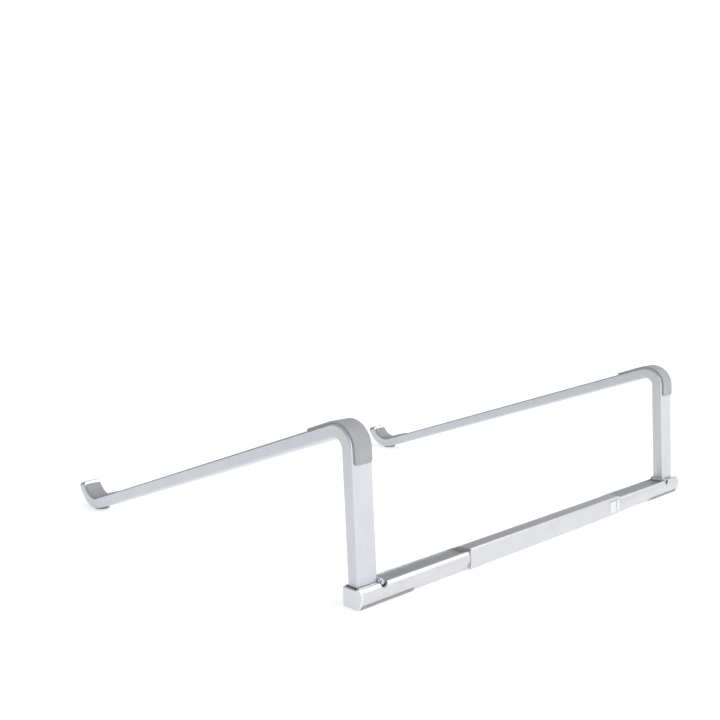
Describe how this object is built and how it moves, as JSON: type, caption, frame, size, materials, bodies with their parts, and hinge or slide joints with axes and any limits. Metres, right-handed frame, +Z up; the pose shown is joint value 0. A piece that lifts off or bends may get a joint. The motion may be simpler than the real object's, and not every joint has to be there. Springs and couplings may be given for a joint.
{
  "type": "laptop stand",
  "caption": "Folding aluminium stand that tilts a laptop: hooked sloping arms hinged on a base bar that slides wider and locks, with silicone pads and rubber feet.",
  "frame": {"origin": "middle of the footprint at table height, with the base pushed in and the arms upright", "axes": "+X along the base bar to the stand's right, +Y from the hooks at the user's side to the legs at the back, +Z up"},
  "size_m": [0.26, 0.2437, 0.0741],
  "materials": {
    "arm_aluminium": "fine bead blasted, silver grey anodised, bright rounded edges",
    "rail_aluminium": "fine bead blasted, silver anodised extrusion",
    "sleeve_aluminium": "fine bead blasted, silver anodised extrusion",
    "cap_aluminium": "fine bead blasted, silver anodised",
    "cover_aluminium": "satin, grey anodised strip",
    "silicone_pad": "matt grey silicone",
    "foot_rubber": "matt grey rubber",
    "hinge_steel": "satin plated, fine brushed",
    "screw_steel": "dark plated",
    "pin_steel": "turned and polished",
    "slide_steel": "brushed along its length",
    "spring_steel": "bright rolled strip",
    "washer_plastic": "low friction polymer",
    "guide_plastic": "moulded, fine texture",
    "button_metal": "satin, machined ribs"
  },
  "bodies": {
    "base": {"sleeve": "sleeve_aluminium", "guide_right": "guide_plastic", "guide_left": "guide_plastic", "stop_pins": "pin_steel", "lock_spring": "spring_steel"},
    "rail_right": {"rail_right": "rail_aluminium", "end_cap_right": "cap_aluminium", "rail_foot_right": "foot_rubber", "slide_bar_right": "slide_steel", "slide_screws_right": "screw_steel", "yoke_right": "hinge_steel", "yoke_screws_right": "screw_steel", "hinge_pin_right": "pin_steel", "hinge_washers_right": "washer_plastic", "channel_cover_right": "cover_aluminium"},
    "arm_right": {"arm_right": "arm_aluminium", "bend_pad_right": "silicone_pad", "hook_pad_right": "silicone_pad", "tip_foot_right": "foot_rubber", "hinge_block_right": "hinge_steel", "block_screw_right": "screw_steel"},
    "rail_left": {"rail_left": "rail_aluminium", "end_cap_left": "cap_aluminium", "rail_foot_left": "foot_rubber", "slide_bar_left": "slide_steel", "slide_screws_left": "screw_steel", "yoke_left": "hinge_steel", "yoke_screws_left": "screw_steel", "hinge_pin_left": "pin_steel", "hinge_washers_left": "washer_plastic", "channel_cover_left": "cover_aluminium"},
    "arm_left": {"arm_left": "arm_aluminium", "bend_pad_left": "silicone_pad", "hook_pad_left": "silicone_pad", "tip_foot_left": "foot_rubber", "hinge_block_left": "hinge_steel", "block_screw_left": "screw_steel"},
    "lock": {"lock_button": "button_metal"}
  },
  "joints": [
    {"name": "rail_right_slide", "type": "slide", "parent": "base", "child": "rail_right", "axis": [1, 0, 0], "range_m": [0, 0.025]},
    {"name": "arm_right_fold", "type": "hinge", "parent": "rail_right", "child": "arm_right", "pos_m": [0.1165, 0.11468, 0.0087], "axis": [0, -1, 0], "range_deg": [0, 88.5]},
    {"name": "rail_left_slide", "type": "slide", "parent": "base", "child": "rail_left", "axis": [-1, 0, 0], "range_m": [0, 0.025]},
    {"name": "arm_left_fold", "type": "hinge", "parent": "rail_left", "child": "arm_left", "pos_m": [-0.1165, 0.11468, 0.0087], "axis": [0, 1, 0], "range_deg": [0, 88.5]},
    {"name": "lock_press", "type": "slide", "parent": "base", "child": "lock", "axis": [0, -1, 0], "range_m": [0, 0.0006], "stiffness_N_per_m": 1500, "springref_m": -0.0006, "deforming": ["lock_spring"]}
  ]
}
